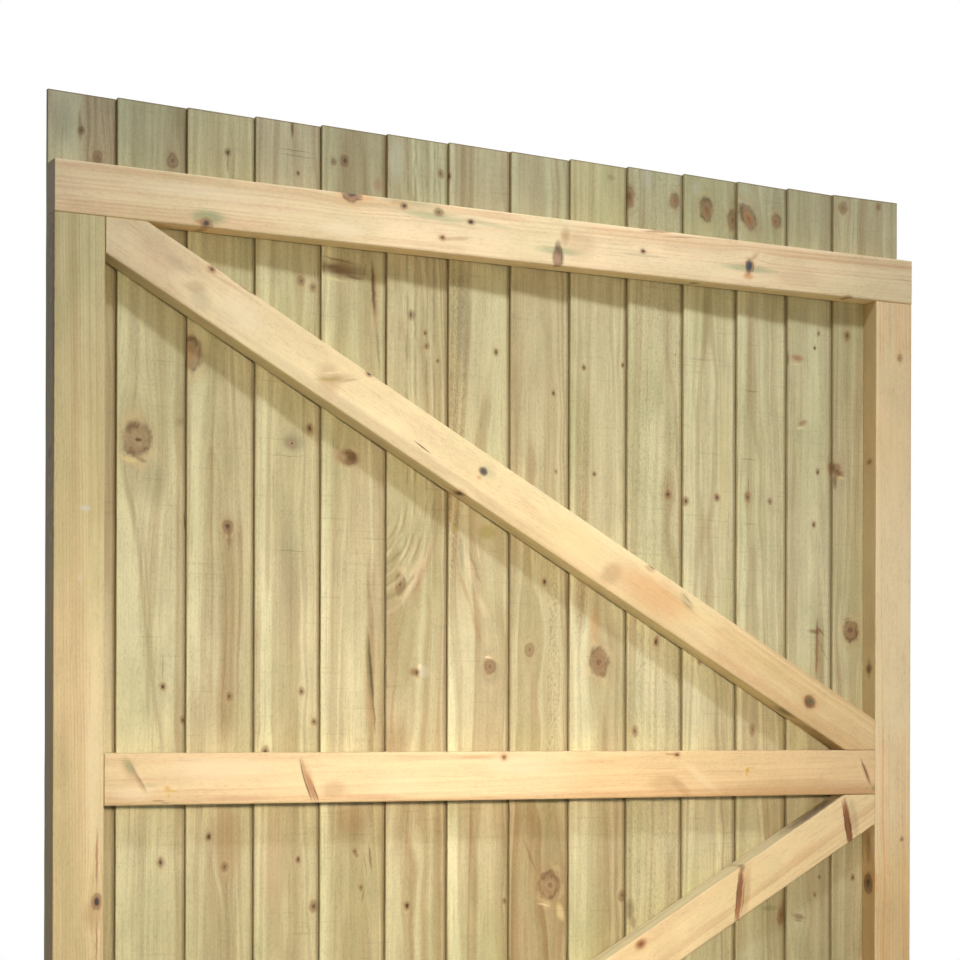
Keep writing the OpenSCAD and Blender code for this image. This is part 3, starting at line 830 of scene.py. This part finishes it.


# Each board's tint above the top rail is painted shade there, together with the board's own tone
boards = [
    {"seed": 21, "shadeAndToneAboveRail": (0.98, 1.00, 1.12), "pith": (30, -40), "tan": 0.46,
     "knots": [(47, 865, 5, 0.3), (71, 833, 7, 0.35, 0.7)],
     "stripes": [(72, 24, 0.2, 780, 1000), (22, 30, -0.2, 780, 1000), (82, 10, -0.4, -20, 260)],
     # The pink and grey stains at 88 darken the strip that shows beside the stile: painted shade there
     "stains": [
         (88, 300, 12, 430, "pink", 0.2), (88, 340, 12, 300, "grey", 0.2),
         (22, 880, 20, 40, "slate", 0.16)],
     "marks": [
         (46, 872, 4, 28, "bark", 0.5), (48, 866, 5, 6, "resin", 0.4), (70, 828, 12, 7, "bark", 0.4)]},
    {"seed": 22, "knotLight": srgb(172, 144, 110), "shadeAndToneAboveRail": (0.76, 0.78, 0.80), "pith": (90, -60),
     "tan": 0.26,
     "knots": [
         (80, 840, 8, 0.4, 0.9), (30, 458, 20, 0.2, 0.9), (68, 124, 5, 1.0, 0.3), (65, -114, 6, 0.8),
         (97, 79, 5, 0.8)],
     "swirls": [(92, 486, 9)],
     # The stripe at 92 is painted shade along the board's right margin, before the seam
     "stripes": [
         (6, 8, -0.2), (52, 26, 0.08, 230, 740), (50, 90, -0.1, -900, 740),
         (16, 16, -0.45, -20, 440, 0, -0.08), (40, 3, 0.22, 60, 420, 0, -0.12),
         (52, 2, 0.15, 40, 330, 0, -0.1), (8, 10, -0.2, -900, -30), (92, 6, 0.3)],
     "stains": [(52, 400, 24, 40, "olive", 0.25)],
     "marks": [
         (92, 486, 10, 10, "bark", 0.35, 0, 0.1), (31, 457, 7, 3.5, "resin", 0.8),
         (108, 190, 2.5, 170, "resin", 0.3), (20, 430, 17, 5, "straw", 0.5, 6),
         (36, 430, 10, 4, "resin", 0.4, 10), (20, 476, 9, 8, "bark", 0.35, 40),
         (68, 152, 0.8, 22, "crack", 0.5), (99, 352, 1.4, 18, "crack", 0.8)]},
    {"seed": 23, "shadeAndToneAboveRail": (0.85, 0.87, 0.85), "pith": (40, -30), "tan": 0.36,
     "knots": [
         (60, 861, 5, 0.9, 0.3), (5, 580, 16, 0.1, 0.8, 1.4), (61, 346, 8, 0.8, 0.7), (64, 112, 5, 0.7),
         (34, -81, 5, 0.8), (58, -123, 6, 0.6)],
     "stripes": [
         (16, 7, -0.25, 120, 620), (34, 6, 0.15, 200, 700), (70, 22, 0.12, 0, 560),
         (66, 15, 0.26, 60, 350, 0, 0.03), (50, 90, -0.1, -900, 760), (12, 5, -0.3, 200, 740),
         (38, 2, 0.2, 100, 500), (55, 24, 0.28, -900, -40), (8, 6, -0.15, -900, -40),
         (88, 5, -0.3, -900, -180, 0, 0.12)],
     "stains": [(64, -90, 26, 70, "tan", 0.3), (26, 572, 14, 34, "bark", 0.25)],
     "marks": [
         (60, 845, 2, 14, "bark", 0.5), (64, 330, 4, 20, "bark", 0.5), (3, 580, 9, 14, "tan", 0.6, 0, 0.5),
         (18, 580, 3, 19, "bark", 0.4, 8)]},
    {"seed": 24, "shadeAndToneAboveRail": (0.78, 0.77, 0.80), "pith": (50, -24), "tan": 0.34,
     "knots": [
         (65, 844, 3, 0.9), (70, 694, 6, 0.5, 0.9), (89, 687, 5, 0.5, 0.9), (84, 489, 5, 0.8, 0.9),
         (73, 120, 5, 0.7), (92, 77, 5, 0.7), (17, 36, 6, 0.8), (68, -116, 4, 0.8), (93, -182, 7, 0.7)],
     "swirls": [(56, 466, 10)],
     "stripes": [
         (10, 8, -0.2, 240, 740), (18, 7, -0.42, -20, 250), (58, 12, 0.18, -900, 300),
         (76, 8, -0.12, -20, 250), (12, 8, -0.2, -900, -40)],
     "stains": [
         (60, 470, 26, 20, "grey", 0.3), (52, 300, 16, 120, "grey", 0.28),
         (30, -120, 26, 110, "pink", 0.2), (60, 466, 20, 14, "slate", 0.16),
         (84, 487, 13, 11, "bark", 0.4)],
     "marks": [
         (55, 466, 14, 12, "grey", 0.4, 0, 0.2), (56, 466, 7, 8, "pink", 0.35),
         (57, 466, 1.8, 2.2, "crack", 0.9), (56, 906, 3.2, 17, "resin", 0.75),
         (60, 875, 36, 0.9, "crack", 0.4), (64, 868, 38, 0.9, "crack", 0.4),
         (50, 448, 40, 0.8, "crack", 0.3), (56, 316, 34, 1, "crack", 0.3)]},
    {"seed": 25, "shadeAndToneAboveRail": (0.62, 0.62, 0.60), "pith": (60, -50), "tan": 0.36,
     "knots": [
         (36, 869, 7, 0.7), (18, 866, 4, 0.4), (46, 451, 9, 0.8, 0.6), (55, -107, 4, 0.8),
         (65, -158, 4, 0.6)],
     "stripes": [
         (7, 9, -0.22), (55, 10, 0.1, 200, 500), (80, 6, 0.3, -50, 300), (55, 36, 0.22, -900, -40),
         (8, 7, -0.3, -900, -30)],
     "stains": [
         (32, 716, 46, 17, "bark", 0.4), (50, -66, 36, 44, "bark", 0.26), (28, 452, 15, 14, "pink", 0.35),
         (78, 140, 12, 90, "tan", 0.4), (86, 680, 9, 70, "tan", 0.4), (90, 842, 8, 14, "pink", 0.5)],
     "marks": [
         (43, 450, 20, 14, "bark", 0.66, 0, 0.5), (44, 449, 11, 9, "olive", 0.35, 0, 0.1),
         (51, 452, 5, 9, "resin", 0.45, 0, 0.1), (44, 457, 12, 1.2, "resin", 0.4),
         (36, 452, 8, 7, "straw", 0.22, 0, 0.1), (30, 716, 44, 9, "bark", 0.6, 0, 0.1),
         (28, 728, 34, 2.2, "bark", 0.6, 6), (3, 716, 2, 12, "bark", 0.5),
         (68, 716, 2.2, 12, "bark", 0.5, 12), (34, 712, 30, 6, "resin", 0.35, 3, 0.1),
         (20, 700, 26, 3, "straw", 0.35, 4), (52, 706, 20, 3.5, "resin", 0.6, 3, 0.1),
         (16, 718, 15, 4, "resin", 0.4, -6, 0.1), (83, 690, 5.5, 52, "bark", 0.65, -3),
         (82, 694, 2.6, 40, "resin", 0.85, -3), (90, 610, 3, 44, "bark", 0.45, -5),
         (78, 152, 6, 66, "olive", 0.7, -5), (80, 150, 3, 64, "crack", 0.6, -5),
         (86, 84, 2.2, 30, "bark", 0.7, -3), (80, -116, 2.4, 26, "bark", 0.7, -6),
         (72, -126, 1.2, 22, "bark", 0.45, -8), (46, -62, 26, 30, "tan", 0.25),
         (58, -112, 4, 4, "bark", 0.5, 30), (68, -170, 2, 12, "bark", 0.5, 12)]},
    {"seed": 26, "shadeAndToneAboveRail": (0.81, 0.89, 0.92), "pith": (20, -70), "tan": 0.50,
     "knots": [
         (88, 869, 6, 0.7, 0.7), (40, 661, 6, 0.9, 0.2), (65, 618, 4, 0.6), (84, 599, 3, 0.8),
         (63, 637, 3, 0.7), (23, 274, 9, 0.5, 0.4, 1.8), (50, 148, 5, 0.8), (35, -186, 5, 1.0, 0.4)],
     "swirls": [(2, 365, 46, 2.0)],
     "stripes": [
         (32, 14, -0.14, -20, 250), (8, 10, -0.15, -900, -40), (88, 12, 0.16, -900, -40),
         (40, 6, -0.18, 260, 480), (56, 4, 0.14, 260, 480)],
     "whorls": [(-20, 398, 118, 180, 0.2, 11, "olive", 0.45), (-22, 380, 108, 170, 0.2, 7, "cream", 0.3)],
     "stains": [
         (14, 880, 14, 46, "white", 0.25), (62, 300, 9, 60, "pink", 0.3, 22),
         (46, 290, 9, 50, "cream", 0.4, 26)],
     "marks": [
         (55, 157, 4, 6, "cream", 0.6), (62, 150, 12, 12, "white", 0.25), (45, 149, 8, 8, "bark", 0.6)]},
    {"seed": 27, "shadeAndToneAboveRail": (0.78, 0.75, 0.81), "pith": (70, -40), "tan": 0.44,
     "knots": [(80, 619, 4.5, 0.8), (71, 159, 9, 0.3, 0.9), (97, -185, 4, 0.6), (0, 866, 4, 1.0)],
     "swirls": [(88, 318, 34), (18, 232, 26, 1.6)],
     "stripes": [
         (18, 14, 0.2, 290, 740, 0.15), (80, 14, -0.18, 250, 740), (6, 8, -0.5, -20, 250),
         (8, 11, -0.4, -900, -40), (20, 8, -0.35, -900, -70, 0, -0.03), (50, 90, 0.06, -900, -40),
         (20, 24, -0.16, -20, 230), (40, 8, 0.16, -190, -40, 0, -0.12), (46, 5, 0.12, -900, -170),
         (28, 12, 0.2, 780, 1000), (3, 5, -0.5, 780, 1000)],
     "stains": [
         (24, 660, 14, 100, "grey", 0.4), (66, 355, 20, 14, "moss", 0.5), (10, 357, 8, 9, "moss", 0.55),
         (72, 150, 22, 22, "grey", 0.35)],
     "marks": [
         (36, 300, 9, 42, "cream", 0.36, -20, 0), (58, 246, 9, 38, "cream", 0.3, -28, 0),
         (66, 200, 7, 32, "cream", 0.25, 0, 0), (46, 300, 3, 40, "bark", 0.35, -24, 0),
         (50, 330, 3, 30, "cream", 0.35, -10, 0), (22, 325, 5, 44, "grey", 0.35, -6),
         (28, 270, 5, 34, "tan", 0.4, -22), (48, 216, 5, 34, "tan", 0.35, -20),
         (68, 172, 9, 3, "cream", 0.6)]},
    {"seed": 28, "knotLight": srgb(180, 150, 112), "shadeAndToneAboveRail": (0.79, 0.82, 0.85), "pith": (40, -60),
     "tan": 0.45, "specks": 0.15,
     "knots": [
         (75, 565, 3.5, 0.9, 0.4), (79, 449, 3, 0.6), (60, 285, 5, 0.9, 0.4), (34, 184, 8),
         (69, -164, 17, 0.35, 0.8)],
     "stripes": [(6, 6, 0.12, 200, 740), (76, 9, -0.1, -20, 300, 0.2), (50, 60, 0.28, -900, -40)],
     "marks": [
         (36, -120, 2.5, 36, "bark", 0.45, -24), (90, -205, 9, 18, "straw", 0.55, -20),
         (60, -192, 14, 2, "cream", 0.5, 12), (88, -300, 3, 60, "olive", 0.3, 12)]},
    {"seed": 29, "shadeAndToneAboveRail": (0.81, 0.82, 0.76), "pith": (55, -25), "tan": 0.40,
     "knots": [
         (24, 606, 4, 0.8), (95, 616, 3, 0.8), (43, 449, 3.5, 0.8), (53, 168, 17, 0.4, 0.9),
         (96, -184, 7, 0.7)],
     "stripes": [
         (5, 7, -0.2, 200, 740), (22, 10, 0.2, 200, 560, 0.1), (86, 10, -0.2, 200, 740),
         (26, 22, -0.36, -20, 230), (70, 10, 0.22, -20, 230), (20, 22, -0.22, -900, -40),
         (76, 20, 0.26, -900, -40)],
     "stains": [
         (44, 222, 13, 34, "orange", 0.3), (53, 170, 12, 15, "pink", 0.5), (72, 896, 10, 6, "bark", 0.3)],
     "marks": [(60, 149, 8, 6, "bark", 0.6)]},
    {"seed": 30, "knotLight": srgb(164, 124, 84), "shadeAndToneAboveRail": (0.70, 0.72, 0.71), "pith": (80, -55),
     "tan": 0.33, "specks": 0.55, "fuzz": 0.22,
     "knots": [
         (2, 869, 9, 0.6, 0.9, 1.8), (86, 873, 9, 0.25, 1.0, 1.3), (75, 425, 6, 0.8, 0.7),
         (54, 200, 5, 0.9, 0.6, 1.5), (15, 64, 6, 0.6, 0.3, 1.6)],
     "stripes": [(42, 24, -0.16, -20, 560), (76, 5, 0.1, 0, 740)],
     "stains": [
         (34, 905, 14, 26, "white", 0.25), (8, -205, 9, 22, "resin", 0.5), (14, -225, 6, 14, "bark", 0.5)],
     "marks": [
         (87, 874, 4, 7, "rust", 0.5), (84, 871, 6, 8, "pink", 0.4), (4, 866, 5, 14, "rust", 0.35),
         (80, 858, 14, 3, "cream", 0.25, -24, 0), (76, 884, 3, 12, "cream", 0.25, -20, 0),
         (75, 436, 1.5, 16, "bark", 0.5)]},
    {"seed": 31, "knotLight": srgb(166, 124, 82), "shadeAndToneAboveRail": (0.72, 0.75, 0.71), "pith": (45, -45),
     "tan": 0.30,
     "knots": [
         (42, 866, 12, 0.25, 1.0, 1.5), (93, 855, 10, 0.3, 1.0, 1.6), (5, 416, 6, 0.8, 0.1),
         (64, 424, 5, 0.7, 0.7, 1.4), (32, 170, 4, 0.6)],
     "stripes": [
         (8, 8, -0.12, 200, 740), (43, 8, 0.2, 200, 740), (50, 90, -0.1, -900, 760),
         (20, 20, -0.1, -20, 230), (72, 20, 0.2, -20, 230), (85, 12, 0.18, -900, -40)],
     "stains": [
         (76, 470, 13, 185, "straw", 0.3, 0, 0.2), (40, 868, 9, 17, "rust", 0.2),
         (24, 895, 12, 16, "white", 0.3)],
     "marks": [
         (45, 862, 6, 11, "rust", 0.4, -8), (36, 874, 7, 12, "olive", 0.3, -10),
         (93, 855, 5, 9, "rust", 0.25), (79, 876, 3, 16, "cream", 0.25, -30, 0),
         (78, 836, 3, 16, "cream", 0.2, 30, 0)]},
    {"seed": 32, "knotLight": srgb(166, 124, 82), "shadeAndToneAboveRail": (0.75, 0.77, 0.78), "pith": (30, -35),
     "tan": 0.25,
     "knots": [
         (20, 862, 14, 0.2, 1.0, 1.5, -35), (76, 862, 9, 0.2, 1.0, 1.3), (21, 427, 6, 0.7, 0.8, 1.4),
         (65, 423, 5, 0.6, 0.4), (31, 67, 6, 0.4, 0.3, 1.6), (88, -226, 6, 0.4, 1.0, 2.0)],
     "stripes": [
         (8, 8, -0.18, 200, 740), (24, 4, 0.22, 330, 700), (28, 7, 0.1, 200, 740),
         (50, 60, 0.08, -20, 190), (50, 90, -0.05, 190, 740), (75, 24, 0.28, -900, -40),
         (8, 8, 0.1, -900, -40)],
     "stains": [
         (18, 861, 9, 15, "orange", 0.3, -35), (64, 424, 8, 12, "white", 0.35),
         (75, 863, 6, 10, "pink", 0.4), (67, -212, 20, 6, "olive", 0.4), (31, 70, 12, 60, "grey", 0.2)],
     "marks": [
         (20, 861, 8, 17, "orange", 0.32, -35), (22, 857, 5, 10, "rust", 0.45, -35),
         (74, 862, 6, 10, "pink", 0.5), (74, 861, 3, 4, "rust", 0.5), (8, 884, 14, 2, "white", 0.35, 10),
         (60, 884, 12, 2, "white", 0.3, -20), (28, 592, 16, 1.5, "bark", 0.45),
         (22, 486, 18, 1.5, "bark", 0.4), (26, 386, 16, 1.2, "bark", 0.3), (22, 446, 1.6, 14, "bark", 0.5),
         (90, -222, 6, 26, "bark", 0.5, 6), (95, -220, 3, 30, "resin", 0.4),
         (62, 872, 12, 3, "cream", 0.25, -30, 0), (88, 846, 3, 12, "cream", 0.2, 10, 0)]},
    {"seed": 33, "shadeAndToneAboveRail": (0.78, 0.77, 0.77), "pith": (60, -60), "tan": 0.22,
     "knots": [
         (62, 693, 3, 0.8, 0.9), (54, 669, 3, 1.0, 0.3), (90, 480, 8, 0.5, 1.0), (61, 474, 4, 0.9, 0.6),
         (53, 390, 4, 0.8, 0.7), (61, 222, 4, 0.8, 0.8), (61, -102, 3, 0.7), (67, -166, 3), (57, -194, 3)],
     "swirls": [(27, -227, 12, 0.6)],
     "stripes": [
         (6, 8, 0.12, 200, 740), (50, 10, -0.1, 200, 740), (68, 6, 0.3, 60, 230),
         (50, 60, 0.18, -900, -40)],
     "stains": [(88, 480, 9, 12, "orange", 0.4), (60, -44, 8, 10, "rust", 0.3)],
     "marks": [
         (18, 650, 20, 8, "pink", 0.5, 2), (18, 650, 14, 6, "rust", 0.45, 2, 0.1),
         (30, 549, 13, 6, "rust", 0.55, -18, 0.1), (26, 541, 10, 3, "cream", 0.5, -10),
         (18, 640, 12, 2.5, "cream", 0.4), (0, 649, 2, 16, "resin"),
         (60, 196, 3, 50, "crack", 0.65, 1, 0.6), (60, 190, 8, 60, "tan", 0.45),
         (54, 221, 14, 5, "bark", 0.7, 8, 0.2), (68, 222, 12, 2.4, "resin", 0.6, 42),
         (74, 190, 1.3, 22, "bark", 0.5, -30), (88, 486, 10, 7, "bark", 0.6, -10, 0.1),
         (96, 482, 4, 12, "resin", 0.6), (25, -227, 17, 6, "bark", 0.6, 12),
         (25, -228, 10, 2.5, "tan", 0.5, 12), (24, -233, 12, 1.6, "resin", 0.5, 12)]},
    {"seed": 34, "knotLight": srgb(162, 128, 88), "shadeAndToneAboveRail": (0.99, 1.00, 1.03), "pith": (70, -40),
     "tan": 0.42,
     "knots": [
         (18, 894, 8, 0.15, 0.8), (88, 904, 5, 0.3, 0.8), (27, 692, 6, 0.6, 0.8), (8, 478, 8, 0.5, 1.0),
         (36, 224, 15, 0.5, 0.8, 1.05), (41, -169, 5, 0.9, 0.4)],
     "stripes": [(19, 6, -0.14, 200, 740), (31, 6, 0.1, 200, 740)],
     "stains": [
         (8, 474, 12, 13, "orange", 0.35), (36, 224, 15, 17, "bark", 0.3), (18, 893, 12, 8, "bark", 0.3)],
     "marks": [
         (12, 473, 13, 7, "bark", 0.7, 8, 0.1), (4, 460, 5, 15, "resin", 0.6),
         (2, 482, 4, 12, "resin", 0.6), (16, 466, 10, 2.5, "straw", 0.4, 10),
         (46, 222, 3, 11, "resin", 0.55, -10), (30, 243, 14, 2, "resin", 0.3, -14)]},
]
# Each board's thin edge, with one out of reach before the first board and one after the last
outOfReach = 1.0
edges = [-outOfReach]
for number, board in enumerate(boards, 1):
    board["node"] = f"board_{number:02d}"
    board["name"] = f"feather_edge_board_{number:02d}"
    edges.append(float(sectionCorners(board["node"])[:, 0].min()))
edges.append(edges[-1] + outOfReach)
for before, board, edge, nextEdge in zip(edges, boards, edges[1:], edges[2:]):
    board["cover"] = (nextEdge - edge) / mm
    board["lapped"] = (boardCut["width"] - (edge - before)) / mm    # hidden by the board before it
    addBoard(board)
print("boards built")


nailing = {
    "across": (0.048, 0.104),                             # from each board's thin edge
    "rings": ((1.0, -0.8), (1.0, 0.55), (0.8, 1.0)),      # shares of the radius, and of `proud`
    "radius": 3.0 * mm, "proud": 0.5 * mm, "sides": 10,
    "least": (-0.012, -0.003, 0.92),                      # stray up, stray sideways, share of radius
    "most": (0.012, 0.003, 1.05),
    "seed": 77,
    "bright": srgb(132, 126, 102), "dull": srgb(86, 80, 62), "dullZone": (0.35, 0.7),
    "metallic": 0.85, "rough": (0.4, 0.7),                # of the brightest zinc, and the dullest
    "grain": 900.0,                                       # of the zinc, per metre
}


def outerFace(node):
    # Both ends of a board's outer face: the outer one of its two left corners, then of the others
    corners = sectionCorners(node)
    order = corners[np.argsort(corners[:, 0])]
    return [pair[np.argmax(pair[:, 1])] for pair in (order[:2], order[2:])]


def addNails():
    # Flat round heads with a domed rim on the boards' outer faces, in line with the three rails.
    # Each is rings of points round its spot: the ring's radius times the cosine of the angle
    # across the board, times the sine of it up, and lifted off the face by its share of `proud`.
    rails = [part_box(rail) for rail in ("top_rail", "mid_rail", "bottom_rail")]
    middles = np.array([(low[2] + high[2]) / 2 for low, high in rails])[:, None]
    count = (len(boards), len(rails), len(nailing["across"]))
    rng = np.random.default_rng(nailing["seed"])
    up, sideways, scale = np.moveaxis(rng.uniform(nailing["least"], nailing["most"], count + (3,)), -1, 0)
    share, lift = np.array(nailing["rings"]).T[..., None]
    turn = np.arange(nailing["sides"]) * 2 * pi / nailing["sides"]
    radius = nailing["radius"] * scale[..., None, None] * share
    reach = (nailing["across"] + sideways)[..., None, None] + radius * np.cos(turn)
    z = (middles + up)[..., None, None] + radius * np.sin(turn)
    ends = np.array([outerFace(board["node"]) for board in boards])
    across = ends[:, 1] - ends[:, 0]
    across = across / np.linalg.norm(across, axis=1)[:, None]
    out = np.stack([-across[:, 1], across[:, 0]], -1)
    start, across, out = (part[:, None, None, None, None] for part in (ends[:, 0], across, out))
    flat = start + across * reach[..., None] + out * (nailing["proud"] * lift)[..., None]
    points = np.concatenate([flat, z[..., None]], -1).reshape(-1, 3)
    rings, sides = len(nailing["rings"]), nailing["sides"]
    first = np.arange(0, len(points), rings * sides)[:, None, None]
    quads = (first + ringFaces(rings, sides)).reshape(-1, 4)
    caps = (first + np.array([[0], [(rings - 1) * sides]]) + np.arange(sides)).reshape(-1, sides)
    return meshPiece("nail_heads", points, quads.tolist() + caps.tolist())


def nailMaterial():
    # Zinc that has gone dull in patches
    material = startMaterial("galvanised")
    mottle = noise(Wire.node("ShaderNodeTexCoord", {}, {}, "Object") * nailing["grain"], 3.0)
    colour = blend(nailing["bright"], nailing["dull"], step(mottle, *nailing["dullZone"]))
    smooth, worn = nailing["rough"]
    endMaterial(Wire.node("ShaderNodeBsdfPrincipled", {},
                          {"Base Color": colour, "Roughness": mottle * (worn - smooth) + smooth,
                           "Metallic": nailing["metallic"]}))
    return material


finishPiece(addNails(), nailMaterial())
print("nails built")


stageSet = {
    "middle": 0.7,                     # of the leaf, along X
    "floorRadius": 6.0, "floorHole": 0.02, "floorRings": 16, "floorSides": 96,
    "drop": 1.0 * mm,                  # of the floor below the boards' feet
    "glow": (0.4, 1.0),                # how white the floor looks, near the leaf and far from it
    "glowZone": (1.5, 5.5),
    "worldLight": 0.16,
}
lamps = [
    {"name": "key", "place": (0.5, -1.55, 2.42), "aim": (0.77, 0.0, 1.13), "size": 0.3,
     "power": 6.0, "beam": 68, "colour": (0.98, 1.02, 1.2)},
    {"name": "fill", "place": (-0.17, -2.96, 0.48), "aim": (0.65, 0.0, -0.07), "size": 0.4,
     "power": 4.5, "beam": 47, "colour": (1.26, 1.03, 0.82)},
    {"name": "foot", "place": (0.3, -2.5, -0.3), "aim": (0.7, 0.0, -1.2), "size": 0.6,
     "power": 1.2, "beam": 44, "colour": (1.0, 1.0, 1.0)},
    {"name": "back", "place": (0.9, 3.0, 1.8), "aim": (0.7, 0.0, 0.0), "size": 1.2,
     "power": 60, "beam": 180, "colour": (1.0, 1.0, 1.0)},
]
camera = {"place": (-0.8264, -2.8585, 0.0803), "yaw": 0.4731, "roll": 0.0029, "lens": 83.29,
          "shiftUp": 0.2501}


def unseenByObject():
    # 1 for a ray from the camera, off a mirror or through glass, else 0
    rays = [Wire.node("ShaderNodeLightPath", {}, {}, name)
            for name in ("Is Camera Ray", "Is Glossy Ray", "Is Transmission Ray")]
    return greater(greater(rays[0], rays[1]), rays[2])


def addFloor():
    # A flat disc: radius times the cosine and sine of the angle, in rings
    turn = np.linspace(0, 2 * pi, stageSet["floorSides"] + 1)[:-1]
    radii = np.linspace(stageSet["floorHole"], 1, stageSet["floorRings"])[:, None] * stageSet["floorRadius"]
    x, y = radii * np.cos(turn) + stageSet["middle"], radii * np.sin(turn)
    z = np.full_like(x, cadBox[0][2] - stageSet["drop"])
    quads = ringFaces(*x.shape)[:, ::-1]    # so that the floor faces up
    mesh = bpy.data.meshes.new("floor")
    mesh.from_pydata(np.stack([x, y, z], -1).reshape(-1, 3), [],
                     quads.tolist() + [list(range(len(turn)))])
    floor = bpy.data.objects.new("floor", mesh)
    bpy.context.collection.objects.link(floor)
    material = startMaterial("floor_paint")
    place = Wire.node("ShaderNodeTexCoord", {}, {}, "Object")
    away = length((place - (stageSet["middle"], 0.0, 0.0)) * (1.0, 1.0, 0.0))
    paint = Wire.node("ShaderNodeBsdfDiffuse", {}, {"Color": (0.8, 0.8, 0.8, 1.0)})
    glow = Wire.node("ShaderNodeEmission", {}, {"Color": (1.0, 1.0, 1.0, 1.0), "Strength": 1.0})
    near, far = stageSet["glow"]
    share = unseenByObject() * (step(away, *stageSet["glowZone"]) * (far - near) + near)
    endMaterial(Wire.node("ShaderNodeMixShader", {}, {0: share, 1: paint, 2: glow}))
    floor.data.materials.append(material)


def addWorld(strength):
    # White where the camera sees it, and this strength as light on the leaf
    world = bpy.data.worlds.new("studio")
    bpy.context.scene.world = world
    world.use_nodes = True
    world.node_tree.nodes.clear()
    Wire.tree = world.node_tree
    seen = unseenByObject()
    out = Wire.tree.nodes.new("ShaderNodeOutputWorld")
    light = Wire.node("ShaderNodeBackground", {},
                      {"Color": (1.0, 1.0, 1.0, 1.0), "Strength": seen * (1 - strength) + strength})
    Wire.tree.links.new(light.socket, out.inputs["Surface"])


def addLamp(name, place, aim, size, power, beam, colour):
    # A disc that faces `aim`, with its beam's angle in degrees
    disc = bpy.data.lights.new(name, "AREA")
    disc.shape = "DISK"
    disc.size = size
    disc.energy = power
    disc.spread = radians(beam)
    disc.color = colour
    made = bpy.data.objects.new(name, disc)
    made.location = place
    direction = np.array(aim, float) - np.array(place, float)
    flat = hypot(direction[0], direction[1])
    made.rotation_euler = (atan2(flat, -direction[2]), 0, atan2(-direction[0], direction[1]))
    bpy.context.collection.objects.link(made)


def addCamera(place, yaw, roll, lens, shiftUp):
    # Level, turned by yaw and tilted sideways by roll, in radians
    view = bpy.data.cameras.new("camera")
    view.lens = lens
    view.shift_y = shiftUp
    made = bpy.data.objects.new("camera", view)
    made.location = place
    made.rotation_euler = (pi / 2, -roll, -yaw)
    bpy.context.collection.objects.link(made)
    bpy.context.scene.camera = made


addFloor()
addWorld(stageSet["worldLight"])
for lamp in lamps:
    addLamp(**lamp)
addCamera(**camera)
bpy.context.scene.view_settings.view_transform = "Standard"
print("stage set")
